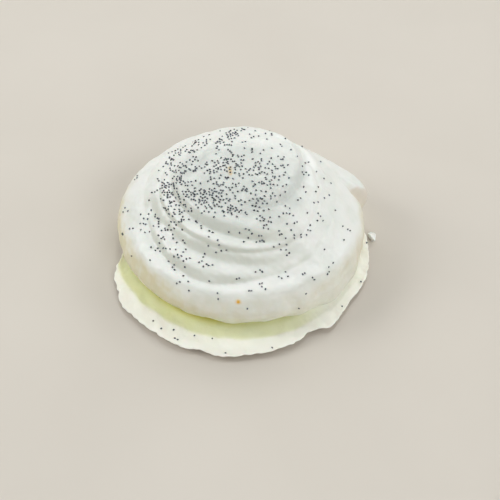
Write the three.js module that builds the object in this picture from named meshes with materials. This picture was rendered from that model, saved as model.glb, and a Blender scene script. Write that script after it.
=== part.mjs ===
// Iced spiral bun: one coil of risen dough baked as a single piece and coated in set white
// icing, which has run down into a thin skirt round the foot. Poppy seeds lie on the crown and
// a chip of icing lies against the skirt. Millimetres, +Z up, standing on Z = 0.
import * as THREE from 'three';
import { mergeVertices } from 'three/addons/utils/BufferGeometryUtils.js';

// Driving dimensions
const bodyRadius = 63.6;              // widest turn of the coil, measured from the body's axis
const bunHeight = 58.5;               // underside to crown
const bodyOffset = [0.5, 8.3];        // the body stands behind the middle of its icing skirt
const crownLean = [2.1, 3.3];         // the crown leans right and back over the widest turn
const skirtTop = 3.2;                 // icing surface where the body meets the skirt
const rimTop = 4.0;                   // icing surface at the free edge of the skirt
const rimThickness = 1.7;             // free edge of the skirt, which stands clear of the table
const rimRound = 0.5;                 // how far the edge bulges between its top and its underside
const footInset = 6;                  // the flat underside ends this far inside the foot
const touchGap = 0.3;                 // clearance kept between pieces that touch
const seedLength = 1.25;
const seedWidth = 0.95;
const seedThickness = 0.75;
const seedCount = 48;
const crumbSize = [5.2, 6.4, 4.6];
const crumbAngle = 12;                // where the chip lies, degrees round from the right

// Mesh resolution
const sides = 90;
const bodyRows = 38;

// Side profile from the foot to the crown: radius and height as parts of the driving sizes
const bodyProfile = [
  [0.87, 0.055], [0.92, 0.11], [0.97, 0.2], [1, 0.31], [0.95, 0.43], [0.86, 0.53],
  [0.765, 0.63], [0.655, 0.735], [0.525, 0.84], [0.37, 0.93], [0.19, 0.985], [0, 1],
];

// The groove between the turns of the coil, from the loose end inwards:
// angle in degrees, radius as a part of the body radius, depth in millimetres
const coilGroove = [
  [-4, 0.98, 0], [20, 0.9, 0.4], [45, 0.86, 0.5], [90, 0.835, 0.6], [150, 0.8, 0.8],
  [180, 0.795, 0.8], [204, 0.815, 1], [228, 0.862, 1.4], [245, 0.884, 1.4], [260, 0.882, 1.2],
  [274, 0.852, 0.9], [288, 0.835, 0.6], [312, 0.81, 0.3], [336, 0.75, 0.3], [360, 0.72, 0.3],
  [376, 0.65, 0.3], [405, 0.605, 0.3], [450, 0.62, 0.5], [517, 0.645, 0.8], [540, 0.66, 1],
  [562, 0.677, 1.6], [590, 0.676, 2.1], [605, 0.678, 2.1], [620, 0.69, 1.9], [635, 0.706, 1.7],
  [650, 0.72, 1.2], [662, 0.716, 0.6], [677, 0.66, 0.4], [697, 0.616, 0.4], [723, 0.55, 0.4],
  [738, 0.505, 0.5], [765, 0.455, 0.4], [810, 0.385, 0.3], [850, 0.365, 0.3], [890, 0.375, 0.5],
  [925, 0.385, 0.4], [950, 0.39, 0.2], [985, 0.4, 0.1], [1004, 0.425, 0.7], [1020, 0.445, 1.4],
  [1051, 0.445, 1.7], [1088, 0.47, 1.5], [1116, 0.525, 1.3], [1150, 0.6, 0],
];
// A second, shorter fold of icing across the front of the crown, in the same terms
const frontFold = [
  [164, 0.57, 0], [178, 0.588, 0.8], [192, 0.592, 1.4], [212, 0.594, 1.7], [228, 0.595, 1.8],
  [248, 0.6, 1.8], [262, 0.612, 1.8], [276, 0.63, 1.5], [290, 0.652, 0.9], [302, 0.67, 0.4],
  [314, 0.69, 0],
];
// Free edge of the skirt, angle and radius about the skirt's own middle
const rimOutline = [
  [-176, 60.5], [-169, 63], [-157, 66.6], [-151, 67.8], [-145, 69.3], [-138, 68.8], [-126, 68.1],
  [-113, 68.6], [-106, 67.3], [-96, 69], [-82, 67.1], [-67, 65.5], [-57, 63.3], [-51, 64],
  [-46, 66.6], [-37, 65.7], [-29, 64.6], [-13, 67.3], [3, 67.8], [12, 68.3], [30, 66], [60, 64],
  [90, 68], [130, 67], [160, 61.5], [184, 60.5],
];

const clamp01 = (value) => Math.min(Math.max(value, 0), 1);
const bell = (offset, width) => Math.exp(-((offset / width) ** 2));

// 0 before start, 1 after end, and an even S between them
function ramp(start, end, value) {
  const t = clamp01((value - start) / (end - start));
  return t * t * (3 - 2 * t);
}

// Brings an angle in degrees into the half-open turn that begins at start
const turnFrom = (start, angle) => start + ((((angle - start) % 360) + 360) % 360);

// Reads a column of a table whose first column rises, with a smooth cubic between its rows
function readTable(table, at, column) {
  const last = table.length - 1;
  if (at <= table[0][0]) return table[0][column];
  if (at >= table[last][0]) return table[last][column];
  let i = 0;
  while (table[i + 1][0] < at) i += 1;
  const slope = (k) => {
    const a = table[Math.max(k - 1, 0)];
    const b = table[Math.min(k + 1, last)];
    return (b[column] - a[column]) / (b[0] - a[0]);
  };
  const span = table[i + 1][0] - table[i][0];
  const t = (at - table[i][0]) / span;
  const value = (2 * t ** 3 - 3 * t ** 2 + 1) * table[i][column]
    + (3 * t ** 2 - 2 * t ** 3) * table[i + 1][column];
  return value + span * ((t ** 3 - 2 * t ** 2 + t) * slope(i) + (t ** 3 - t ** 2) * slope(i + 1));
}

// Height of the icing over the smooth body beside one groove. Outside the groove the lower
// turn comes up slowly; inside it the upper turn stands up as a short riser with a round edge.
function grooveRelief(table, angle, radius) {
  if (angle < table[0][0] || angle > table[table.length - 1][0]) return 0;
  const depth = Math.max(readTable(table, angle, 2), 0);
  const x = radius - bodyRadius * readTable(table, angle, 1);
  const soft = 0.7;
  const cut = Math.exp(-(Math.hypot(x, soft) - soft) / (x < 0 ? 1.5 : 3.2));
  const riser = bell(x + 4.5, x < -4.5 ? 4.5 : 2.2);
  return depth * (0.55 * riser + 0.3 * bell(x - 6.5, 4) - 0.9 * cut);
}

// All the relief at an angle from -180 to 180 degrees
function relief(angle, radius, height) {
  const turn = turnFrom(0, angle);
  let sum = grooveRelief(frontFold, turn, radius);
  for (let k = -1; k < 4; k += 1) sum += grooveRelief(coilGroove, turn + 360 * k, radius);
  const shoulder = 1.6 * bell(radius - 58, 3.2) * ramp(190, 225, turn) * (1 - ramp(335, 358, turn));
  return ramp(10, 20, height) * sum + (height > 18 ? shoulder : 0);
}

// The body is narrower behind the loose end of the coil, and slightly at the back on the left
function narrowing(angle, radius) {
  const behindEnd = 7 * Math.exp(-(Math.abs((angle - 60) / 24) ** 3)) * ramp(26, 46, radius);
  return behindEnd + 1.4 * bell(angle - 137, 11) * ramp(40, 50, radius);
}

// Behind the crown on that same side the icing lies fuller, and on the left it has slumped
function rearShoulder(angle, radius, height) {
  if (height <= 18) return 0;
  const around = Math.exp(-(Math.abs((angle - 59) / 30) ** 3));
  const slump = 1.2 * bell(angle - 122, 26) * ramp(20, 32, radius) * (1 - ramp(50, 58, radius));
  return 3.5 * around * ramp(24, 38, radius) * (1 - ramp(56, 63, radius)) - slump;
}

// The loose end of the coil stands out from the side, abrupt at its end and fading along it
function looseEnd(angle, height) {
  const along = ramp(12, 16, angle) * bell(Math.max(angle - 18, 0), 13.5);
  return 6 * along * bell(height - 24, height > 24 ? 8.5 : 7.2);
}

// Low on the right the icing has run down, so the wall goes to the skirt with less undercut
function runDown(angle, height) {
  const side = ramp(-62, -38, angle) * (1 - ramp(0, 14, angle));
  return 5 * side * (1 - ramp(4, 16, height));
}

const profileCurve = new THREE.SplineCurve(
  bodyProfile.map(([r, z]) => new THREE.Vector2(r * bodyRadius, z * bunHeight)),
);

// Point of the body at an angle and at a part of the way from the foot to the crown
function bodyPoint(angle, part) {
  const at = profileCurve.getPointAt(part);
  const along = profileCurve.getTangentAt(part);
  const lift = relief(angle, at.x, at.y);
  const radius = at.x + lift * along.y + looseEnd(angle, at.y) + runDown(angle, at.y)
    - narrowing(angle, at.x);
  const height = at.y - lift * along.x + rearShoulder(angle, at.x, at.y);
  const lean = clamp01((at.y / bunHeight - 0.31) / 0.69);
  const turn = THREE.MathUtils.degToRad(angle);
  return new THREE.Vector3(
    bodyOffset[0] + crownLean[0] * lean + radius * Math.cos(turn),
    bodyOffset[1] + crownLean[1] * lean + radius * Math.sin(turn),
    height,
  );
}

// Outline of the skirt's free edge as a point seen from above
function rimPoint(angle, inset) {
  const radius = readTable(rimOutline, turnFrom(-176, angle), 1) - inset;
  const turn = THREE.MathUtils.degToRad(angle);
  return new THREE.Vector2(radius * Math.cos(turn), radius * Math.sin(turn));
}

// One upright section: down the body, over the skirt, round its edge and back underneath
function section(angle) {
  const points = [];
  for (let row = 1; row <= bodyRows; row += 1) points.push(bodyPoint(angle, 1 - row / bodyRows));
  const foot = points[points.length - 1];
  const rim = rimPoint(angle, 0);
  for (const part of [0.3, 0.65, 0.92]) {
    points.push(new THREE.Vector3(
      foot.x + (rim.x - foot.x) * part,
      foot.y + (rim.y - foot.y) * part,
      skirtTop + (rimTop - skirtTop) * part ** 2,
    ));
  }
  const edge = rimPoint(angle, -rimRound);
  const under = rimPoint(angle, 0.6);
  points.push(new THREE.Vector3(edge.x, edge.y, rimTop - rimThickness / 2));
  points.push(new THREE.Vector3(under.x, under.y, rimTop - rimThickness));
  const middle = new THREE.Vector2(...bodyOffset);
  const inner = new THREE.Vector2(foot.x, foot.y).sub(middle);
  inner.setLength(inner.length() - footInset).add(middle);
  points.push(new THREE.Vector3(inner.x, inner.y, 0));
  return points;
}

// Closes a ring of sections into one solid between a top point and a bottom point
function closedSolid(sections, top, bottom) {
  const rows = sections[0].length;
  const positions = [top, ...sections.flat(), bottom].flatMap((p) => [p.x, p.y, p.z]);
  const at = (side, row) => 1 + (side % sections.length) * rows + row;
  const end = 1 + sections.length * rows;
  const faces = [];
  for (let side = 0; side < sections.length; side += 1) {
    faces.push(0, at(side, 0), at(side + 1, 0));
    for (let row = 0; row < rows - 1; row += 1) {
      faces.push(at(side, row), at(side, row + 1), at(side + 1, row + 1));
      faces.push(at(side, row), at(side + 1, row + 1), at(side + 1, row));
    }
    faces.push(at(side, rows - 1), end, at(side + 1, rows - 1));
  }
  const geometry = new THREE.BufferGeometry();
  geometry.setAttribute('position', new THREE.Float32BufferAttribute(positions, 3));
  geometry.setIndex(faces);
  geometry.computeVertexNormals();
  return geometry;
}

const icing = new THREE.MeshStandardMaterial({ color: 0xf1f3ea, roughness: 0.35, metalness: 0 });
const seedCoat = new THREE.MeshStandardMaterial({ color: 0x2c3036, roughness: 0.7, metalness: 0 });
const icingChip = new THREE.MeshStandardMaterial({ color: 0xf3f1ec, roughness: 0.6, metalness: 0 });

// The whole bun with its icing and skirt is a single solid
function makeBun() {
  const sections = [];
  for (let side = 0; side < sides; side += 1) sections.push(section(-180 + (360 * side) / sides));
  const bottom = new THREE.Vector3(bodyOffset[0], bodyOffset[1], 0);
  const bun = new THREE.Mesh(closedSolid(sections, bodyPoint(0, 1), bottom), icing);
  bun.name = 'iced_bun';
  return bun;
}

// A platonic solid of unit width with its corners merged, stretched to a size
function stretched(geometry, size) {
  geometry.deleteAttribute('normal');
  geometry.deleteAttribute('uv');
  const solid = mergeVertices(geometry, 1e-4);
  solid.scale(...size);
  solid.computeVertexNormals();
  return solid;
}

// A broken chip of icing with flats, lying on the table just outside the skirt
function makeCrumb() {
  const shape = stretched(new THREE.DodecahedronGeometry(0.5), crumbSize);
  shape.rotateZ(THREE.MathUtils.degToRad(crumbAngle));
  shape.computeBoundingBox();
  const crumb = new THREE.Mesh(shape, icingChip);
  crumb.name = 'icing_crumb';
  const spot = rimPoint(crumbAngle, -(rimRound + touchGap + crumbSize[0] / 2));
  crumb.position.set(spot.x, spot.y, -shape.boundingBox.min.z);
  return crumb;
}

// Direction straight out of the icing at a point of the body
function bodyNormal(angle, part) {
  const sideways = bodyPoint(angle + 1, part).sub(bodyPoint(angle - 1, part));
  const upwards = bodyPoint(angle, part + 0.01).sub(bodyPoint(angle, part - 0.01));
  return sideways.cross(upwards).normalize();
}

// Seeds are spread over the crown like the florets of a sunflower, each lying flat on the icing
function makeSeed(index) {
  const goldenAngle = 137.5;
  const angle = ((index * goldenAngle) % 360) - 180;
  const part = 0.97 - 0.45 * Math.sqrt((index + 1) / seedCount);
  const seed = new THREE.Mesh(
    stretched(new THREE.IcosahedronGeometry(0.5), [seedLength, seedWidth, seedThickness]),
    seedCoat,
  );
  seed.name = `poppy_seed_${String(index + 1).padStart(2, '0')}`;
  const out = bodyNormal(angle, part);
  seed.position.copy(bodyPoint(angle, part)).addScaledVector(out, seedThickness / 2 + touchGap);
  seed.quaternion.setFromUnitVectors(new THREE.Vector3(0, 0, 1), out);
  seed.rotateZ(THREE.MathUtils.degToRad(index * goldenAngle));
  return seed;
}

const bun = new THREE.Group();
bun.add(makeBun(), makeCrumb());
for (let index = 0; index < seedCount; index += 1) bun.add(makeSeed(index));

// Stands the finished bun on Z = 0 with its middle over the origin
const box = new THREE.Box3().setFromObject(bun);
const middle = box.getCenter(new THREE.Vector3());
bun.position.set(-middle.x, -middle.y, -box.min.z);

export default bun;
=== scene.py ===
# Iced spiral bun: a baked coil under thick white icing that ran out into a thin skirt, with poppy
# seeds. Shapes are worked out in millimetres about the middle of the skirt, then placed in metres.
import math
import bpy
import numpy as np
from mathutils import Matrix, Vector


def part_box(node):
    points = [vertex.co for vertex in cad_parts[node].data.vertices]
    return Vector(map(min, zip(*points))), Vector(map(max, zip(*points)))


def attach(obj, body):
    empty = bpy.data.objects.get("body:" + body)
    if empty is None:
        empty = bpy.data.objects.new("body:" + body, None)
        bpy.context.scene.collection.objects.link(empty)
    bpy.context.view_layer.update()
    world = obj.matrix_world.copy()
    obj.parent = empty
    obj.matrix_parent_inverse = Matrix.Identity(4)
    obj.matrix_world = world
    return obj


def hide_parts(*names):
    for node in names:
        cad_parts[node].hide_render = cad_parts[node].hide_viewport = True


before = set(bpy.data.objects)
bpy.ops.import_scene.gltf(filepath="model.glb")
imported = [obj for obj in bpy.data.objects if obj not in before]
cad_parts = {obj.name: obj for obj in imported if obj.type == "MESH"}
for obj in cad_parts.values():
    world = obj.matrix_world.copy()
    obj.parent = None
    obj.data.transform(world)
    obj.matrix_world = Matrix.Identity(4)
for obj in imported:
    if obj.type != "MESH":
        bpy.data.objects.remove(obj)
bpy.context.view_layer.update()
mm = 0.001
print("frame loaded:", len(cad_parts), "nodes")


# Sums that the shapes share

def ramp(start, end, value):  # 0 before start, 1 after end, an even S between
    t = np.clip((value - start) / (end - start), 0.0, 1.0)
    return t * t * (3 - 2 * t)


def bell(offset, width):  # 1 in the middle, falling off evenly on both sides
    return np.exp(-((offset / width) ** 2))


def fullTurn(start, angle):  # the same angle, within the turn that begins at start
    return start + np.mod(angle - start, 360)


def readTable(rows, at, column):
    # a smooth curve through the rows, read by their first column: between two rows a cubic that has
    # at each the slope from the row before to the row after
    rows = np.asarray(rows, float)
    x, y = rows[:, 0], rows[:, column]
    slope = np.empty_like(y)
    slope[1:-1] = (y[2:] - y[:-2]) / (x[2:] - x[:-2])
    slope[[0, -1]] = (y[[1, -1]] - y[[0, -2]]) / (x[[1, -1]] - x[[0, -2]])
    at = np.clip(at, x[0], x[-1])
    i = np.clip(np.searchsorted(x, at, side="right") - 1, 0, len(x) - 2)
    span = x[i + 1] - x[i]
    t = (at - x[i]) / span
    value = (2 * t**3 - 3 * t**2 + 1) * y[i] + (3 * t**2 - 2 * t**3) * y[i + 1]
    return value + span * ((t**3 - 2 * t**2 + t) * slope[i] + (t**3 - t**2) * slope[i + 1])


def waves(points, length, count, seed):
    # soft swells: a sum of sine waves of about one length that run in all directions
    draw = np.random.default_rng(seed)
    way = draw.normal(size=(count, points.shape[-1]))
    way *= (2 * np.pi / (length * draw.uniform(0.7, 1.4, count)) / np.linalg.norm(way, axis=1))[:, None]
    phase = draw.uniform(0, 2 * np.pi, count)
    total = np.zeros(points.shape[:-1])
    for k in range(count):
        total += np.sin(points @ way[k] + phase[k])
    return total / math.sqrt(count / 2)


def unevenness(points, layers):  # waves of several sizes together: height, length, number and seed
    return sum(height * waves(points, length, count, seed) for height, length, count, seed in layers)


def gridFaces(rows, columns):
    # faces of a grid closed by a point at each end: the first point, the rows, then the last point,
    # with each row's columns anticlockwise as seen from the first point
    row, column = np.meshgrid(np.arange(rows - 1), np.arange(columns), indexing="ij")
    at = 1 + row * columns
    after = (column + 1) % columns
    quads = np.stack([at + column, at + columns + column, at + columns + after, at + after], -1)
    side = np.arange(columns)
    nextSide = (side + 1) % columns
    last = 1 + (rows - 1) * columns
    cap = np.stack([np.zeros_like(side), 1 + side, 1 + nextSide], -1)
    base = np.stack([last + side, np.full_like(side, last + columns), last + nextSide], -1)
    return [quads.reshape(-1, 4), cap, base]


def meshPiece(name, points, faceSets):  # a smooth piece from points in metres and arrays of faces
    mesh = bpy.data.meshes.new(name)
    faces = [face for block in faceSets for face in block.tolist()]
    mesh.from_pydata(points.tolist(), [], faces)
    mesh.polygons.foreach_set("use_smooth", np.ones(len(faces), bool))
    mesh.update()
    piece = bpy.data.objects.new(name, mesh)
    bpy.context.scene.collection.objects.link(piece)
    return piece


def closedGrid(name, rings, top, bottom):  # a piece from rings of points between two end points
    points = np.vstack([top, rings.reshape(-1, 3), bottom])
    return meshPiece(name, points, gridFaces(*rings.shape[:2]))


def vertexValue(piece, name, values):  # one number for each vertex, for a material to read
    layer = piece.data.attributes.new(name, "FLOAT", "POINT")
    layer.data.foreach_set("value", np.asarray(values, np.float32).ravel())


# The bun: one closed surface for the coil, its coat and the skirt

bunShape = {
    "radius": 63.6, "height": 58.0,  # widest turn of the coil, and underside to crown
    "middle": (0.5, 8.3), "lean": (2.1, 3.3),  # the body's axis, and how far its crown leans from it
    "place": (-4.665, -0.999),  # the middle of the skirt, in the frame
    "skirtTop": 3.2, "rimTop": 4.0, "rimThickness": 1.7,
    "rimRound": 0.45, "rimLean": 1.5,  # the rim's rounding on top, and how far its cut face leans in
    "rimWaves": (0.16, 4.5, 20, 9),  # small waves along it: height, length, number, seed
    "rimBites": 0.22,  # how much deeper the deepest of them bite
    "footInset": 6,  # from the foot in to where the underside lies flat
    "columns": 560, "bodyRows": 128, "skirtRows": 16, "edgeRows": 7, "underRows": 8, "baseRows": 7,
    # how far parts of the body stand out or draw in
    "frontShoulder": 1.5, "frontBeads": 0.22, "undercut": (1.8, 0.7),
    "endLobe": 6, "endFold": 2.1, "narrowBehindEnd": 7, "riseBehindEnd": 3.5,
    "narrowLeft": 1.4, "slumpLeft": 1.2, "runDown": 5, "pool": (0.8, 0.9),
    # unevenness of the coat and of the skirt: height, length of a wave, number of waves, seed
    "swells": [(0.16, 11, 26, 5), (0.045, 3.6, 30, 6)],
    "ripples": [(0.13, 8, 18, 7), (0.05, 2.6, 24, 8)],
    # side profile from foot to crown: radius and height as parts of the driving sizes
    "profile": [
        (0.87, 0.055), (0.92, 0.11), (0.97, 0.2), (1, 0.31), (0.95, 0.43), (0.86, 0.53),
        (0.765, 0.63), (0.655, 0.735), (0.525, 0.84), (0.37, 0.93), (0.19, 0.985), (0, 1),
    ],
    # groove between the turns, from the loose end inwards: degrees, part of the radius, how deep it
    # cuts, how far the turn inside it stands up, and how far the coat steps down outside it
    "coilGroove": [
        (-4, 0.98, 0, 0, 0), (8, 0.945, 0.1, 0.3, 0), (21, 0.9, 0.3, 0.5, 0),
        (45, 0.86, 0.5, 0.3, 0), (90, 0.835, 0.6, 0.4, 0), (150, 0.8, 0.8, 0.6, 0),
        (180, 0.795, 0.7, 0.7, 0), (204, 0.815, 0.8, 0.7, 0), (228, 0.862, 1.3, 0.8, 0),
        (245, 0.884, 1.3, 0.8, 0), (260, 0.882, 1.3, 0.7, 0), (274, 0.852, 0.9, 0.6, 0),
        (288, 0.835, 0.6, 0.4, 0), (312, 0.81, 0.3, 0.3, 0), (336, 0.75, 0.3, 0.3, 0),
        (360, 0.72, 0.3, 0.3, 0), (376, 0.65, 0.3, 0.2, 0), (405, 0.605, 0.3, 0.2, 0),
        (450, 0.62, 0.6, 0.1, 0), (517, 0.645, 0.8, 0.2, 0), (540, 0.66, 0.8, 0.3, 0.4),
        (552, 0.672, 0.8, 0.1, 0.9), (562, 0.677, 0.8, 0, 1.3), (575, 0.675, 0.6, 0, 1.5),
        (590, 0.674, 0.7, 0, 1.7), (605, 0.677, 0.7, 0, 1.7), (620, 0.688, 0.5, 0, 1.6),
        (635, 0.694, 0.6, 0, 1.5), (650, 0.697, 0.4, 0, 1.1), (662, 0.69, 0.2, 0.1, 0.5),
        (677, 0.66, 0.3, 0.2, 0.3), (697, 0.616, 0.3, 0.3, 0.3), (723, 0.55, 0.3, 0.3, 0.2),
        (738, 0.505, 0.4, 0.3, 0), (765, 0.455, 0.3, 0.2, 0), (810, 0.385, 0.2, 0.1, 0),
        (850, 0.365, 0.2, 0.1, 0), (890, 0.375, 0.3, 0.35, 0), (925, 0.385, 0.25, 0.35, 0),
        (950, 0.39, 0.1, 0.1, 0), (985, 0.4, 0.05, 0.05, 0), (1004, 0.425, 0.4, 0.35, 0),
        (1020, 0.445, 0.8, 0.75, 0), (1051, 0.445, 1, 0.9, 0), (1088, 0.47, 0.9, 0.8, 0),
        (1116, 0.525, 0.9, 0.7, 0), (1150, 0.6, 0, 0, 0),
    ],
    # a shorter fold across the front of the crown, in the same terms
    "frontFold": [
        (164, 0.57, 0, 0, 0), (178, 0.588, 0.5, 0.7, 0), (192, 0.592, 1.0, 1.2, 0),
        (212, 0.594, 1.1, 1.4, 0), (228, 0.595, 1.2, 1.5, 0), (248, 0.6, 1.2, 1.6, 0),
        (262, 0.612, 1.2, 1.5, 0), (276, 0.63, 1.0, 1.2, 0), (290, 0.652, 0.6, 0.7, 0),
        (302, 0.67, 0.2, 0.3, 0), (314, 0.69, 0, 0, 0),
    ],
    # soft lumps in the coat: degrees, distance from the axis, half length along the coil, half width
    # across it, height
    "lumps": [
        (203, 29.5, 2.2, 1.6, 0.55), (233, 29, 2.5, 3, -0.3), (222, 59.5, 5, 2.5, 0.4),
        (204, 58, 4, 3, 0.25), (188, 47, 3.5, 2.5, 0.3), (172, 56, 9, 4, 0.3),
        (236, 60, 3, 2.5, -0.25), (252, 59.5, 5, 2, 0.2), (268, 60.5, 3, 2.5, -0.2),
        (286, 56.5, 6, 3.2, 0.4), (300, 56.5, 4, 3.4, 0.4), (312, 56.5, 3.5, 3, 0.35),
        (322, 53, 4, 3, -0.2), (350, 51, 8, 3, 0.3), (322, 33.5, 7, 4, -0.25),
        (352, 38.5, 7, 2.5, 0.3), (205, 29, 4, 3.5, 0.35), (170, 28, 8, 3, 0.3),
        (150, 36, 9, 4, 0.3), (240, 30, 5, 3.5, 0.3), (262, 33, 4, 3, 0.2), (275, 22, 5, 4, 0.3),
        (225, 19, 5, 4, -0.3), (315, 16, 5, 4, 0.25), (80, 30, 9, 4, 0.3), (100, 45, 10, 4, 0.3),
        (250, 8, 5, 5, -0.3), (30, 12, 6, 5, 0.2),
    ],
    # folds that run straight down the wall: degrees, half width in degrees, height
    "drips": [
        (214, 3, 0.2), (246, 2.5, 0.3), (257, 3, -0.3), (266, 2.5, 0.35), (277, 3, -0.25),
        (287, 3.5, 0.3), (301, 4, 0.9), (311, 3, -0.5), (319, 3.5, 0.6), (328, 3, -0.5),
        (336, 4, 0.6), (346, 3.5, -0.4), (354, 4, 0.5), (120, 7, 0.5), (95, 6, -0.4), (145, 6, 0.4),
        (70, 6, 0.5),
    ],
    # nicks in the free edge: degrees, half width, depth
    "notches": [
        (-104.5, 0.8, 0.5), (-124, 0.6, 0.45), (-63, 0.9, 0.5), (-55.5, 0.8, 0.5), (-36, 0.7, 0.4),
        (-139, 0.6, 0.4), (-86, 0.6, 0.35),
    ],
    # free edge of the skirt: degrees, distance from the skirt's middle
    "rim": [
        (-178.5, 61), (-175, 60.5), (-172, 61), (-168, 63.3), (-164, 64.9), (-161, 66.2),
        (-157, 66.7), (-154, 66.9), (-151, 67.8), (-148, 69.2), (-142, 69.5), (-139, 68.9),
        (-133, 68.7), (-125, 68.45), (-120, 68.85), (-113, 69.05), (-108, 68.65), (-106, 67.75),
        (-102, 68.05), (-97, 69.25), (-95, 69.45), (-91, 68.95), (-82, 67.55), (-74, 67.05),
        (-67, 65.85), (-64, 66.15), (-59, 64.85), (-57, 63.75), (-54, 63.75), (-52, 64.15),
        (-49, 65.45), (-47, 67.05), (-44, 67.15), (-38, 66.25), (-29, 65.05), (-26, 65.45),
        (-17, 67.05), (-10, 67.8), (3, 67.9), (12, 68.4), (30, 66.1), (45, 64.7), (60, 64.1),
        (75, 66.4), (90, 68.1), (110, 68.3), (130, 67.1), (146, 64.1), (160, 61.6), (172, 61.3),
        (181.5, 61),
    ],
}


def profileAlong(shape, parts):
    # radius, height and outward way at parts 0 to 1 of the profile's length, from foot to crown; each
    # stretch is a cubic that passes its two points in the direction in which their neighbours lie
    p = np.array(shape["profile"]) * (shape["radius"], shape["height"])
    p = np.vstack([2 * p[0] - p[1], p, p[-2] * (-1, 1)])  # mirrored past the crown, so its top is level
    t = np.linspace(0, 1, 40, endpoint=False)[:, None]
    a, b, c, d = (p[k:len(p) - 3 + k][:, None, :] for k in range(4))
    square, cube = 2 * a - 5 * b + 4 * c - d, 3 * b - a - 3 * c + d
    curve = 0.5 * (2 * b + (c - a) * t + square * t**2 + cube * t**3)
    curve = np.vstack([curve.reshape(-1, 2), p[-2]])
    length = np.concatenate([[0], np.cumsum(np.linalg.norm(np.diff(curve, axis=0), axis=1))])
    along = np.gradient(curve, length, axis=0)
    along /= np.linalg.norm(along, axis=1)[:, None]
    table = np.column_stack([curve, along[:, 1], -along[:, 0]])
    return [np.interp(parts * length[-1], length, column) for column in table.T]


def grooveRelief(shape, rows, angle, radius):
    # x is how far outside the groove's line a point lies: a narrow cut on the line, a rounded riser
    # up to it from inside, and a step down outside it that fades away
    cutDepth, inner, outer = (np.clip(readTable(rows, angle, k), 0, None) for k in (2, 3, 4))
    x = radius - shape["radius"] * readTable(rows, angle, 1)
    cut = np.exp(-(np.hypot(x, 0.5) - 0.5) / np.where(x < 0, 0.9, 1.1))
    riser = bell(x + 4.4, np.where(x < -4.4, 4.5, 2.4)) + 0.5 * bell(x - 5.5, 3.5)
    lip, hollow = bell(x + 1.6, 1.7), bell(x - 4.6, 2.5)
    shelf = ramp(-0.9, 0.6, x) * (1 - ramp(4.5, 10, x))
    step = 0.25 * lip - 0.65 * shelf - 0.85 * hollow
    total = inner * riser + outer * step - cutDepth * cut
    return np.where((angle < rows[0][0]) | (angle > rows[-1][0]), 0, total)


def endLine(radius, height):  # where round the bun the coil's end comes away from it
    return 13 + 0.75 * np.clip(57 - radius, 0, 7) - 0.3 * np.clip(24.5 - height, 0, 8)


def bodyRelief(shape, angle, radius, height):
    # how far the coat stands off the profile: the coil's folds, a fuller shoulder and small beads in
    # front, lumps, folds down the wall, icing pooled low on the right, and the fold at the coil's end;
    # places round the bun are in degrees, radii and heights in millimetres
    turn = fullTurn(0, angle)
    folds = grooveRelief(shape, shape["frontFold"], turn, radius)
    for k in range(-1, 4):
        folds = folds + grooveRelief(shape, shape["coilGroove"], turn + 360 * k, radius)
    front = ramp(190, 225, turn) * (1 - ramp(335, 358, turn))
    top = shape["frontShoulder"] * bell(radius - 58.2, 3) * front
    for degrees, away, halfLength, halfWidth, rise in shape["lumps"]:
        offset = np.radians(fullTurn(-180, turn - degrees)) * away
        top = top + rise * bell(offset, halfLength) * bell(radius - away, halfWidth)
    beads = shape["frontBeads"] * np.sin(turn / 4.6 * np.pi)
    beads = beads * bell(radius - 50.5, 2.2) * bell(turn - 222, 26)
    wall = 0
    for degrees, halfWidth, rise in shape["drips"]:
        wall = wall + rise * bell(fullTurn(-180, turn - degrees), halfWidth)
    wall = wall * ramp(2, 9, height) * (1 - ramp(19, 27, height))
    pooled, drained = shape["pool"]
    pool = pooled * bell(height - 10.5, 3.2) - drained * bell(height - 19, 3)
    pool = pool * ramp(286, 304, turn) * (1 - ramp(340, 356, turn))
    past = fullTurn(-180, angle) - endLine(radius, height)
    fold = shape["endFold"] * bell(past, 1.1) * ramp(50, 53, radius) * ramp(12, 17, height)
    upper = ramp(10, 20, height) * folds + np.where(height > 18, top + beads, 0)
    return upper + (wall + pool) * (radius > 50) - fold


def bodySurface(shape, angle, parts):
    # radius and height from the profile, pushed out along its normal by the relief; then the coil's
    # loose end stands out, the places round it draw in or rise, and the upper body leans
    radius, height, outR, outZ = (v[:, None] for v in profileAlong(shape, parts))
    lift = bodyRelief(shape, angle, radius, height)
    turn, around = fullTurn(0, angle), fullTurn(-180, angle)
    foot = (1 - ramp(4, 7.5, height)) * ramp(180, 196, turn) * (1 - ramp(288, 306, turn))  # in front
    undercut, sink = shape["undercut"]
    endLobe = shape["endLobe"] * ramp(-0.4, 3, around - endLine(radius, height))
    endLobe = endLobe * bell(np.clip(around - 18, 0, None), 13.5)
    endLobe = endLobe * bell(height - 24, np.where(height > 24, 8.5, 7.2))
    runDown = ramp(-62, -38, around) * (1 - ramp(0, 14, around)) * (1 - ramp(4, 16, height))
    behindEnd = np.exp(-np.abs((around - 60) / 24) ** 3) * ramp(26, 46, radius)
    left = bell(turn - 137, 11) * ramp(40, 50, radius)
    narrowing = shape["narrowBehindEnd"] * behindEnd + shape["narrowLeft"] * left
    rise = np.exp(-np.abs((around - 59) / 30) ** 3) * ramp(24, 38, radius) * (1 - ramp(56, 63, radius))
    slump = bell(turn - 122, 26) * ramp(20, 32, radius) * (1 - ramp(50, 58, radius))
    rear = np.where(height > 18, shape["riseBehindEnd"] * rise - shape["slumpLeft"] * slump, 0)
    r = radius + lift * outR + endLobe + shape["runDown"] * runDown - narrowing - undercut * foot
    z = height + lift * outZ + rear - sink * foot
    lean = np.clip((height / shape["height"] - 0.31) / 0.69, 0, 1)
    x = shape["middle"][0] + shape["lean"][0] * lean + r * np.cos(np.radians(angle))
    y = shape["middle"][1] + shape["lean"][1] * lean + r * np.sin(np.radians(angle))
    return np.stack(np.broadcast_arrays(x, y, z), -1)


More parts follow.
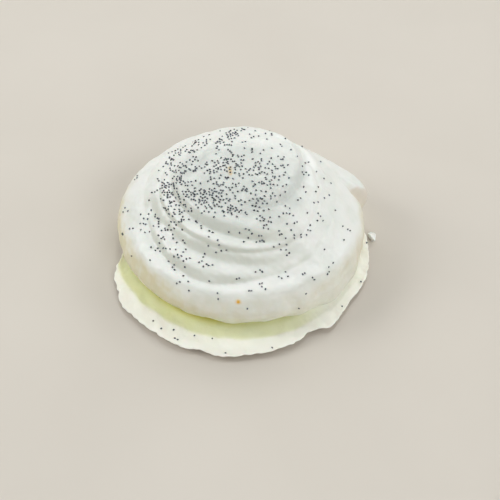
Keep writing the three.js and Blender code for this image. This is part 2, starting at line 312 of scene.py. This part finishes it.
def rowsBetween(t, fromRing, toRing, heights):  # rings at parts t of the way in plan, at their heights
    t = t[:, None, None]
    flat = fromRing[None, :, :2] * (1 - t) + toRing[None] * t
    return np.concatenate([flat, np.broadcast_to(heights, flat.shape[:2])[..., None]], -1)


def rimLine(shape, angle, way):  # the free edge's distance from the middle, with small waves and nicks
    rim = readTable(shape["rim"], fullTurn(-178.5, angle), 1)
    height, length, count, seed = shape["rimWaves"]
    ragged = waves(way * 67, length, count, seed)  # along a circle near the rim
    rim = rim + height * ragged
    rim = rim - shape["rimBites"] * np.clip(ragged - 0.8, 0, None) * ramp(-150, -120, angle)
    for degrees, halfWidth, depth in shape["notches"]:
        rim = rim - depth * np.exp(-np.abs((angle - degrees) / halfWidth) ** 1.2)
    return rim


def bunRings(shape):
    # body rows from crown to foot, over the skirt, round its rim, back underneath and in to the middle
    angle = -180 + 360 * np.arange(shape["columns"]) / shape["columns"]
    way = np.stack([np.cos(np.radians(angle)), np.sin(np.radians(angle))], -1)
    parts = 1 - (np.arange(shape["bodyRows"]) + 1) / shape["bodyRows"]
    body = bodySurface(shape, angle[None, :], parts)
    foot = body[-1]
    rim = rimLine(shape, angle, way)

    t = (np.arange(1, shape["skirtRows"] + 1) / shape["skirtRows"]) ** 0.8  # closer towards the rim
    level = shape["skirtTop"] + (shape["rimTop"] - shape["skirtTop"]) * t**2
    atFoot = (foot[None, :, 2] - shape["skirtTop"]) * (1 - ramp(0, 0.12, t))[:, None]
    skirt = rowsBetween(t, foot, way * (rim[:, None] - shape["rimRound"]), level[:, None] + atFoot)

    # the rim: a quarter round over its top edge, then a cut face that leans in underneath
    bend = np.linspace(0, 2, shape["edgeRows"] + 1)[1:]
    rounded, face = np.clip(bend, 0, 1) * np.pi / 2, np.clip(bend - 1, 0, 1)
    inwards = shape["rimRound"] * (1 - np.sin(rounded)) + shape["rimLean"] * face
    drop = shape["rimRound"] * (1 - np.cos(rounded)) + (shape["rimThickness"] - shape["rimRound"]) * face
    edgeAway = (rim[None, :] - inwards[:, None])[..., None]
    edgeTop = np.broadcast_to((shape["rimTop"] - drop)[:, None, None], edgeAway.shape)
    edge = np.concatenate([edgeAway * way[None], edgeTop], -1)

    middle = np.array(shape["middle"])
    inward = foot[:, :2] - middle
    reach = np.linalg.norm(inward, axis=1)[:, None]
    flatRing = middle + inward / reach * (reach - shape["footInset"])
    t = np.arange(1, shape["underRows"] + 1) / shape["underRows"]
    underside = (shape["rimTop"] - shape["rimThickness"]) * (1 - t) ** 1.2
    under = rowsBetween(t, way * (rim[:, None] - shape["rimLean"]), flatRing, underside[:, None])
    t = np.arange(1, shape["baseRows"] + 1) / (shape["baseRows"] + 1)
    base = rowsBetween(t, flatRing, np.broadcast_to(middle, flatRing.shape), np.zeros((len(t), 1)))
    return body, skirt, edge, under, base


def surfaceNormals(grid):  # outward unit normals of a grid whose columns close on themselves
    down = np.gradient(grid, axis=0)
    sideways = np.roll(grid, -1, axis=1) - np.roll(grid, 1, axis=1)
    normal = np.cross(down, sideways)
    return normal / np.linalg.norm(normal, axis=-1, keepdims=True)


def makeBun(shape):
    body, skirt, edge, under, base = bunRings(shape)
    top = bodySurface(shape, np.zeros((1, 1)), np.ones(1))[0, 0]
    bottom = np.array([*shape["middle"], 0])
    swell = unevenness(body, shape["swells"])
    body = body + swell[..., None] * surfaceNormals(body) * ramp(2, 6, body[..., 2:])
    ripple = unevenness(skirt[..., :2], shape["ripples"])
    skirt[..., 2] += ripple * ramp(0, 3, np.arange(1, len(skirt) + 1))[:, None]
    edge[..., 2] += ripple[-1] * np.linspace(1, 0.4, len(edge))[:, None]
    rings = np.concatenate([body, skirt, edge, under, base])
    shift = np.array([*shape["place"], 0]) * mm
    piece = closedGrid("iced_bun_surface", rings * mm + shift, top * mm + shift, bottom * mm + shift)
    return piece, shift


zoneShape = {
    # outer edge of the ring of painted shadow that the bun casts on the skirt, with painted warm bounce
    # light: degrees, distance from its middle, strength
    "shelter": [
        (170, 63, 0), (188, 63, 0.6), (196, 62.8, 0.95), (229, 59, 1.0), (245, 58.2, 0.88),
        (268, 57.8, 0.77), (290, 58.2, 0.68), (303, 58.6, 0.6), (312, 58.4, 0.3), (324, 58, 0),
        (380, 58, 0),
    ],
    # how much painted shade and painted warm bounce light lie low on the wall: degrees, strength
    "wall": [
        (0, 0.9), (14, 1), (30, 0.4), (90, 0.45), (160, 0.9), (182, 1.7), (202, 1.8), (225, 1.5),
        (250, 0.8), (270, 0.5), (300, 0.4), (330, 0.45), (350, 0.75), (360, 0.9),
    ],
    # drops of syrup: place, half size, strength
    "syrup": [
        ((-5.9, 5.4, 57.9), 1.0, 0.5), ((-5.5, 3.4, 57.7), 0.9, 0.6), ((-5.2, 1.6, 57.4), 0.8, 0.5),
        ((1.3, -53.2, 26.0), 1.0, 2),
    ],
}


def tintZones(shape, piece, shift):
    # where the icing changes colour, and where painted shade, the bun's painted shadow and painted warm
    # bounce light lie on it, as values from 0 to 1 on the vertices, from each vertex's place on the bun
    # and from how far its normal turns up
    count = len(piece.data.vertices)
    place, out = np.empty(count * 3, np.float32), np.empty(count * 3, np.float32)
    piece.data.vertices.foreach_get("co", place)
    piece.data.vertices.foreach_get("normal", out)
    x, y, z = ((place.reshape(-1, 3) - shift) / mm).T
    up = out.reshape(-1, 3)[:, 2]
    skirtTurn = fullTurn(20, np.degrees(np.arctan2(y, x)))  # round the skirt's middle
    middleX, middleY = bunShape["middle"]
    turn = fullTurn(0, np.degrees(np.arctan2(y - middleY, x - middleX)))  # round the body's axis
    away = np.hypot(x - middleX, y - middleY)

    onSkirt = (1 - ramp(4.6, 5.6, z)) * (up > 0.2)
    # painted shadow of the bun on the skirt, with painted warm bounce light, out to a wavy edge
    edge = readTable(shape["shelter"], skirtTurn, 1) + 0.3 * waves(np.stack([x, y], -1), 16, 12, 15)
    strength = readTable(shape["shelter"], skirtTurn, 2)
    vertexValue(piece, "paintedShadow", onSkirt * strength * (1 - ramp(-1.1, 1.1, np.hypot(x, y) - edge)))
    # painted shade and painted warm bounce light in the corner where the wall meets the skirt, in front
    inFront = ramp(190, 204, skirtTurn) * (1 - ramp(250, 285, skirtTurn) * 0.7)
    inFront = inFront * (1 - ramp(300, 312, skirtTurn))
    vertexValue(piece, "paintedCornerShade", onSkirt * (1 - ramp(55.5, 60.5, away)) * inFront)
    vertexValue(piece, "sheet", 1 - ramp(4.2, 5.5, z))

    # painted shade on the face where the coil's end stands out, which faces away from the light
    past = fullTurn(-180, turn) - endLine(57, z)
    side = ramp(-2, -0.5, past) * (1 - ramp(3, 7, past)) * ramp(0.1, 0.5, 1 - up)
    level = ramp(10, 15, z) * (1 - ramp(28, 32, z))
    vertexValue(piece, "paintedLobeShade", 0.85 * side * level * ramp(54, 57, away))
    # painted shade on the steep risers of the folds in front, which face away from the light
    front = ramp(176, 196, turn) * (1 - ramp(300, 325, turn))
    steep = (1 - ramp(0.62, 0.9, up)) * ramp(26, 31, z) * (1 - ramp(50, 54, z)) * (away > 20)
    vertexValue(piece, "hollow", front * steep)
    # a little greyer over the crown, less so towards the back
    vertexValue(piece, "crown", (1 - ramp(27, 39, away)) * (1 - 0.8 * ramp(14, 30, y)))
    # painted shade and painted warm bounce light low on the steep wall, strongest on the left
    wall = ramp(0.15, 0.95, 1 - up) * (1 - ramp(21, 33, z)) * ramp(3.5, 6, z)
    vertexValue(piece, "paintedWarmShade", np.clip(readTable(shape["wall"], turn, 1) * wall, 0, 1))
    low = (1 - ramp(2.2, 3.4, z)) * (1 - ramp(1.5, 2.3, z) * 0.5)
    vertexValue(piece, "baked", ramp(0.5, 0.8, -up) * low)
    drop = 0
    for centre, size, amount in shape["syrup"]:
        drop = drop + amount * bell(np.linalg.norm(np.stack([x, y, z], -1) - centre, axis=-1), size)
    vertexValue(piece, "syrup", np.clip(drop, 0, 1))


bun, planShift = makeBun(bunShape)
tintZones(zoneShape, bun, planShift)
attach(bun, "root")
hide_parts("iced_bun")
print("bun:", len(bun.data.polygons), "faces")


# The chip of icing beside the skirt

crumbShape = {
    "columns": 56, "rows": 28, "seed": 11,
    "flats": 13, "flatAway": (0.78, 1.0),  # broken faces, and how far they lie from the middle
    "soften": 9, "grain": 0.032, "grainLength": 1.3,  # lower softens the edges between the faces
}


def makeCrumb(shape):
    # each way from the middle goes as far as the softly nearest of some flats, with fine grain; the
    # whole is then stretched into its box
    low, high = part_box("icing_crumb")
    half = np.array(high - low) / 2
    middle = np.array(high + low) / 2
    draw = np.random.default_rng(shape["seed"])
    flats = draw.normal(size=(shape["flats"], 3))
    flats /= np.linalg.norm(flats, axis=1)[:, None]
    away = draw.uniform(*shape["flatAway"], shape["flats"])
    tilt = np.pi * (np.arange(shape["rows"]) + 1) / (shape["rows"] + 1)
    turn = 2 * np.pi * np.arange(shape["columns"]) / shape["columns"]
    way = np.stack(np.broadcast_arrays(
        np.sin(tilt)[:, None] * np.cos(turn), np.sin(tilt)[:, None] * np.sin(turn), np.cos(tilt)[:, None],
    ), -1)
    way = np.concatenate([way.reshape(-1, 3), [[0, 0, 1], [0, 0, -1]]])
    near = np.clip(way @ flats.T, 0.05, None) / away
    reach = 1 / (near ** shape["soften"]).sum(-1) ** (1 / shape["soften"])
    reach += shape["grain"] * waves(way * 2.5, shape["grainLength"], 14, shape["seed"])
    points = way * reach[:, None]
    points = 2 * (points - points.min(0)) / np.ptp(points, axis=0) - 1
    points = middle + points * half
    rings = points[:-2].reshape(shape["rows"], shape["columns"], 3)
    return closedGrid("icing_crumb_surface", rings, points[-2], points[-1])


crumb = makeCrumb(crumbShape)
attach(crumb, "root")
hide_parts("icing_crumb")
print("crumb:", len(crumb.data.polygons), "faces")


# The poppy seeds, all in one mesh

seedShape = {
    "length": 1.06, "width": 0.82, "height": 0.7, "bend": 0.12,  # one seed, a bent oval
    "around": 6, "along": 4,  # its points round and along
    "sizeRange": (0.84, 1.12), "tilt": 0.192,  # how much sizes differ, and how far seeds lean
    "apart": 0.9, "sunk": 0.14,  # the least between two middles, and how deep a seed sits
    "seed": 48,
    "frameSeeds": [f"poppy_seed_{k:02d}" for k in range(1, 49)],  # these keep their places
    # where the others fell: middle, spread and number, about the middle of the skirt
    "patches": [
        # the thick of them, over the crown and its left side
        (-32, 5, 5.5, 8, 78), (-28, -10, 7, 6, 70), (-9, 4, 6.5, 8, 82), (-12, -11, 6, 4.5, 54),
        (8, -9, 7.5, 7.5, 84), (10, 8, 8, 5, 40), (-38, 3, 1.4, 4, 15), (-30, 3, 1.4, 3.4, 8),
        (-16, -10, 3, 2.6, 16), (-14, 4, 2, 1.6, 8), (-3, -17.5, 2.6, 0.8, 10), (14, 2, 1.8, 1.2, 6),
        (12, -21, 2, 2.4, 8), (-35, -18, 7, 5, 20), (-28, -35, 3, 2.6, 15), (-36, -27, 5, 3, 8),
        (-47, -8, 2.6, 3.6, 9), (-44, 9, 2.4, 4, 5),
        # towards the back
        (-6, 35, 2.2, 4, 22), (-12, 26, 1.2, 3, 9), (-35, 30, 2.4, 5, 20), (-22, 34, 3, 3.6, 16),
        (-24, 24, 4, 2, 9), (-6, 25, 3, 2, 7), (4, 30, 2, 2, 5), (13, 36, 1.2, 1, 3),
        (8, 19, 6, 2, 7), (-2, 41, 2.6, 1.4, 4), (-55, 25, 1.4, 1.6, 3), (19, 26, 0.8, 0.8, 2),
        # the front and the right side
        (-18, -30, 6, 3, 8), (-14, -38, 3.4, 1, 5), (5, -28, 2, 1.4, 6), (11, -28, 1.4, 1, 5),
        (25, -22, 5.5, 6, 17), (22, -32, 2.6, 2.6, 5), (22, -41, 1.4, 0.8, 4), (-7, -32, 2, 1, 3),
        (10, -40, 1.2, 0.6, 3), (12, -45.5, 1, 0.9, 3), (30, 14, 3.4, 6, 5), (37, 3, 4, 5.5, 7),
        (39, -11, 1.2, 1.2, 3), (44, -33, 0.8, 1.4, 3), (35, -38, 2.8, 0.6, 4), (54, -7, 1.4, 1, 3),
        (34, -17, 0.8, 1.6, 3), (-55, -11, 2.6, 1.4, 4), (-59, 4, 1.6, 2.6, 3),
    ],
    # the ones that lie alone
    "singles": [
        (-36, -54), (-30, -54), (-29, -59.5), (-27.5, -60), (-19.5, -57), (-11, -58.4), (-4, -67),
        (18.5, -62.5), (-40.5, -49), (5.5, -53.7), (-9, -49.8), (-8.2, -51.6), (6, -48.6), (7.2, -48.5),
        (14, -47.6), (0, -43.8), (1.2, -43.4), (-13, -44.3), (-23, -44), (-28.7, -43.8), (30.5, -47.7),
        (33.5, -44.2), (47.3, -1.3), (52, -14.3), (45, 13.6), (44, 5), (63, -18.6), (53, -35), (42, -23),
        (46.5, -28.3), (-52.5, -23.8), (-22.5, -47.4), (-42.5, -31.4), (67, 8.5), (30, -22),
        (20.5, -30.5),
    ],
}


def kidney(shape):
    # rings along a bent axis: the width goes by the sine of the way along it, and the middle is
    # pushed to one side by a parabola
    t = np.pi * np.arange(1, shape["along"] + 1)[:, None] / (shape["along"] + 1)
    a = 2 * np.pi * np.arange(shape["around"]) / shape["around"]
    rings = np.broadcast_arrays(np.cos(t), np.sin(t) ** 0.8 * np.cos(a), np.sin(t) ** 0.8 * np.sin(a))
    points = np.vstack([[1, 0, 0], np.stack(rings, -1).reshape(-1, 3), [-1, 0, 0]])
    points = points * (shape["length"], shape["width"], shape["height"]) / 2
    points[:, 1] += shape["bend"] * (1 - (2 * points[:, 0] / shape["length"]) ** 2)
    return points, gridFaces(shape["along"], shape["around"])


def seedSpots(shape, draw):  # plan places of the seeds, none closer to an earlier one than they can lie
    corners = [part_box(name) for name in shape["frameSeeds"]]
    spots = [np.array(low + high)[:2] / 2 / mm - planShift[:2] / mm for low, high in corners]
    spots += [np.array(spot) for spot in shape["singles"]]
    for x, y, spreadX, spreadY, count in shape["patches"]:
        placed = tries = 0
        while placed < count and tries < 60 * count:
            tries += 1
            spot = np.array([x, y]) + draw.normal(size=2) * (spreadX, spreadY)
            if np.min(np.linalg.norm(np.array(spots) - spot, axis=1)) > shape["apart"]:
                spots.append(spot)
                placed += 1
    return np.array(spots)


def makeSeeds(shape):
    # one kidney for each place, on the icing under it, turned at random about a way near its normal
    draw = np.random.default_rng(shape["seed"])
    spots = seedSpots(shape, draw)
    bpy.context.view_layer.update()
    places, outs = [], []
    for x, y in spots * mm + planShift[:2]:  # straight down on to the icing
        hit, place, normal, face = bun.ray_cast(Vector((x, y, 0.1)), Vector((0, 0, -1)))
        if hit:
            places.append(place)
            outs.append(normal)
    places, outs = np.array(places), np.array(outs)
    count = len(places)
    outs += shape["tilt"] * draw.normal(size=(count, 3))
    outs /= np.linalg.norm(outs, axis=1)[:, None]
    along = np.cross(outs, draw.normal(size=(count, 3)))
    along /= np.linalg.norm(along, axis=1)[:, None]
    across = np.cross(outs, along)
    points, faces = kidney(shape)
    local = points[None] * draw.uniform(*shape["sizeRange"], (count, 1, 3))
    turned = local[..., :1] * along[:, None] + local[..., 1:2] * across[:, None]
    turned = turned + local[..., 2:] * outs[:, None]
    lift = shape["height"] / 2 - shape["sunk"]
    final = places[:, None] + (turned + outs[:, None] * lift) * mm
    step = (np.arange(count) * len(points))[:, None, None]
    faces = [(block[None] + step).reshape(-1, block.shape[-1]) for block in faces]
    piece = meshPiece("poppy_seeds", final.reshape(-1, 3), faces)
    vertexValue(piece, "seedTone", np.repeat(draw.uniform(size=count), len(points)))
    return piece, count


seeds, seedCount = makeSeeds(seedShape)
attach(seeds, "root")
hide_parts(*seedShape["frameSeeds"])
print("seeds:", seedCount)


# Materials, read from Object coordinates in metres and from the values on the vertices

def shaderMaterial(name, **sockets):  # a material whose shader has these constants on its own sockets
    material = bpy.data.materials.new(name)
    material.use_nodes = True
    nodes = material.node_tree.nodes
    shader = nodes["Principled BSDF"]
    for socket, value in sockets.items():
        shader.inputs[socket.replace("_", " ")].default_value = value
    return material, nodes, material.node_tree.links, shader


def colourNoise(material, scale, detail, stretch=(1, 1, 1)):
    # noise over the object's own coordinates, in metres times scale
    nodes, links = material.node_tree.nodes, material.node_tree.links
    coordinate = nodes.new("ShaderNodeTexCoord")
    mapping = nodes.new("ShaderNodeMapping")
    mapping.inputs["Scale"].default_value = stretch
    noise = nodes.new("ShaderNodeTexNoise")
    noise.inputs["Scale"].default_value = scale
    noise.inputs["Detail"].default_value = detail
    links.new(coordinate.outputs["Object"], mapping.inputs["Vector"])
    links.new(mapping.outputs["Vector"], noise.inputs["Vector"])
    return noise.outputs["Fac"]


def spread(material, value, start, end, low=0.0, high=1.0):  # start..end stretched to low..high
    node = material.node_tree.nodes.new("ShaderNodeMapRange")
    node.inputs["From Min"].default_value = start
    node.inputs["From Max"].default_value = end
    node.inputs["To Min"].default_value = low
    node.inputs["To Max"].default_value = high
    material.node_tree.links.new(value, node.inputs["Value"])
    return node.outputs["Result"]


def times(material, value, other):  # the product, kept between 0 and 1
    node = material.node_tree.nodes.new("ShaderNodeMath")
    node.operation = "MULTIPLY"
    node.use_clamp = True
    material.node_tree.links.new(value, node.inputs[0])
    material.node_tree.links.new(other, node.inputs[1])
    return node.outputs["Value"]


def tinted(material, amount, under, colour):  # the colour laid over what is under it, by the amount
    node = material.node_tree.nodes.new("ShaderNodeMixRGB")
    material.node_tree.links.new(amount, node.inputs["Fac"])
    if isinstance(under, tuple):
        node.inputs["Color1"].default_value = under
    else:
        material.node_tree.links.new(under, node.inputs["Color1"])
    node.inputs["Color2"].default_value = colour
    return node.outputs["Color"]


def bumped(material, shader, height, depth, strength):  # height shows as bumps of this depth in metres
    node = material.node_tree.nodes.new("ShaderNodeBump")
    node.inputs["Distance"].default_value = depth
    node.inputs["Strength"].default_value = strength
    material.node_tree.links.new(height, node.inputs["Height"])
    material.node_tree.links.new(node.outputs["Normal"], shader.inputs["Normal"])


def readValue(material, name):  # a value kept on the vertices
    node = material.node_tree.nodes.new("ShaderNodeAttribute")
    node.attribute_name = name
    return node.outputs["Fac"]


icingLook = {
    "white": (0.885, 0.905, 0.86, 1), "thin": (0.815, 0.85, 0.79, 1),
    "hollow": (0.71, 0.735, 0.66, 1),  # painted shade down the steep risers of the folds in front
    "crown": (0.655, 0.69, 0.645, 1),  # a little greyer over the crown, less so towards the back
    "sheet": (0.95, 0.955, 0.86, 1),  # where it is spread thin on the skirt
    "paintedShadow": (0.865, 0.90, 0.54, 1),  # painted shadow of the bun on the skirt next to its foot, with painted warm bounce light
    "paintedCornerShade": (0.78, 0.74, 0.22, 1),  # painted shade and painted warm bounce light in the corner at the foot
    "paintedWarmShade": (0.75, 0.70, 0.485, 1),  # painted shade and painted warm bounce light low on the wall
    "paintedLobeShade": (0.77, 0.71, 0.625, 1),  # painted shade on the face at the coil's end
    "syrup": (0.85, 0.46, 0.0, 1),
    "baked": (0.52, 0.30, 0.13, 1), "bakedDark": (0.30, 0.15, 0.06, 1),  # bare dough underneath
    "gloss": 0.42, "roughness": (0.3, 0.46), "subsurface": 0.06, "subsurfaceReach": 0.0016,
    "grainDepth": 0.00022,
}


def icingMaterial(look):
    material, nodes, links, shader = shaderMaterial(
        "white_icing", Base_Color=look["white"], Specular_IOR_Level=look["gloss"],
        Subsurface_Weight=look["subsurface"], Subsurface_Scale=look["subsurfaceReach"])
    cloud = colourNoise(material, 90, 3)
    fine = colourNoise(material, 620, 3)
    runs = colourNoise(material, 260, 2, (1, 1, 0.22))  # drawn out downwards
    colour = tinted(material, spread(material, cloud, 0.45, 0.72), look["white"], look["thin"])
    # laid over each other in this order: colour, value on the surface, and what breaks it up
    layers = [
        # painted shade on the steep risers in front
        ("hollow", "hollow", None),
        ("crown", "crown", spread(material, cloud, 0.3, 0.7, 0.7, 1.1)),
        ("sheet", "sheet", None),
        # painted shade and warm bounce light low on the wall, broken into runs
        ("paintedWarmShade", "paintedWarmShade", spread(material, runs, 0.3, 0.7, 0.75, 1.2)),
        # the bun's painted shadow on the skirt
        ("paintedShadow", "paintedShadow", spread(material, cloud, 0.3, 0.7, 0.9, 1.1)),
        # painted shade in the corner at the foot
        ("paintedCornerShade", "paintedCornerShade", None),
        # painted shade on the face at the coil's end
        ("paintedLobeShade", "paintedLobeShade", None),
        ("syrup", "syrup", None),
        ("baked", "baked", spread(material, cloud, 0.2, 0.5, 0.8, 1)),
        ("bakedDark", "baked", spread(material, fine, 0.4, 0.62)),
    ]
    for tone, value, patches in layers:
        amount = readValue(material, value)
        if patches:
            amount = times(material, amount, patches)
        colour = tinted(material, amount, colour, look[tone])
    links.new(colour, shader.inputs["Base Color"])
    links.new(spread(material, fine, 0.3, 0.7, *look["roughness"]), shader.inputs["Roughness"])
    bumped(material, shader, fine, look["grainDepth"], 0.5)
    return material


icing = icingMaterial(icingLook)
bun.data.materials.append(icing)
crumb.data.materials.append(icing)

seedLook = {
    "dark": (0.045, 0.052, 0.065, 1), "pale": (0.16, 0.175, 0.21, 1),
    "gloss": 0.35, "roughness": (0.45, 0.7), "pitDepth": 0.00006,
}


def seedMaterial(look):
    material, nodes, links, shader = shaderMaterial("seed_coat", Specular_IOR_Level=look["gloss"])
    pitted = colourNoise(material, 2600, 2)
    tone = spread(material, readValue(material, "seedTone"), 0.2, 1)
    colour = tinted(material, tone, look["dark"], look["pale"])
    colour = tinted(material, spread(material, pitted, 0.6, 0.75), colour, look["dark"])
    links.new(colour, shader.inputs["Base Color"])
    links.new(spread(material, pitted, 0.3, 0.7, *look["roughness"]), shader.inputs["Roughness"])
    bumped(material, shader, pitted, look["pitDepth"], 0.6)
    return material


seeds.data.materials.append(seedMaterial(seedLook))
print("materials: icing, seed coat")


# Floor, lights and camera

floorShape = {
    "reach": 9.0, "roughness": 0.8,
    "tone": (0.66, 0.62, 0.55, 1), "worn": (0.64, 0.60, 0.53, 1),  # in soft patches
}


def makeFloor(shape):
    corners = np.array([[-1, -1, 0], [1, -1, 0], [1, 1, 0], [-1, 1, 0]]) * shape["reach"]
    floor = meshPiece("floor", corners, [np.array([[0, 1, 2, 3]])])
    paint, nodes, links, shader = shaderMaterial("floor_paint", Roughness=shape["roughness"])
    patches = spread(paint, colourNoise(paint, 9, 3), 0.35, 0.65)
    links.new(tinted(paint, patches, shape["tone"], shape["worn"]), shader.inputs["Base Color"])
    floor.data.materials.append(paint)


lightShape = {
    "sky": (1.0, 1.0, 1.0, 1), "skyStrength": 0.2,
    "overhead": {"place": (0.02, 0.10, 0.9), "size": 0.11, "power": 1.1},
    # soft boxes in a ring round the bun: degrees round from the right, and power
    "ring": [(0, 3.8), (60, 4.5), (120, 3.6), (180, 7.8), (300, 5.7)],
    "ringHeight": 35, "ringDistance": 1.4, "ringSize": 0.7,
}


def makeLight(name, place, size, power):
    lamp = bpy.data.lights.new(name, "AREA")
    lamp.shape, lamp.size, lamp.energy = "DISK", size, power
    light = bpy.data.objects.new(name, lamp)
    bpy.context.scene.collection.objects.link(light)
    facing = (-Vector(place)).to_track_quat("-Z", "Y").to_matrix().to_4x4()  # towards the bun
    light.matrix_world = Matrix.Translation(place) @ facing


def makeLights(shape):
    world = bpy.data.worlds.new("studio")
    bpy.context.scene.world = world
    world.use_nodes = True
    background = world.node_tree.nodes["Background"]
    background.inputs["Color"].default_value = shape["sky"]
    background.inputs["Strength"].default_value = shape["skyStrength"]
    makeLight("overhead_light", **shape["overhead"])
    rise = math.radians(shape["ringHeight"])
    for degrees, power in shape["ring"]:
        turn = math.radians(degrees)
        way = Vector((math.cos(rise) * math.cos(turn), math.cos(rise) * math.sin(turn), math.sin(rise)))
        makeLight(f"soft_box_{degrees}", way * shape["ringDistance"], shape["ringSize"], power)
    bpy.context.scene.view_settings.view_transform = "Standard"


# aim and distance in metres, angles in degrees, lens in millimetres on a 36 mm sensor
cameraShape = {"aim": (0.0011, 0.0026, 0), "distance": 0.5793, "pitch": 48.3, "roll": 2.37, "lens": 79.2}


def makeCamera(shape):
    camera = bpy.data.objects.new("camera", bpy.data.cameras.new("camera"))
    camera.data.lens, camera.data.sensor_width = shape["lens"], 36
    camera.matrix_world = (
        Matrix.Translation(shape["aim"])
        @ Matrix.Rotation(math.radians(90 - shape["pitch"]), 4, "X")
        @ Matrix.Rotation(math.radians(shape["roll"]), 4, "Z")
        @ Matrix.Translation((0, 0, shape["distance"]))
    )
    bpy.context.scene.collection.objects.link(camera)
    bpy.context.scene.camera = camera


makeFloor(floorShape)
makeLights(lightShape)
makeCamera(cameraShape)
print("stage ready")
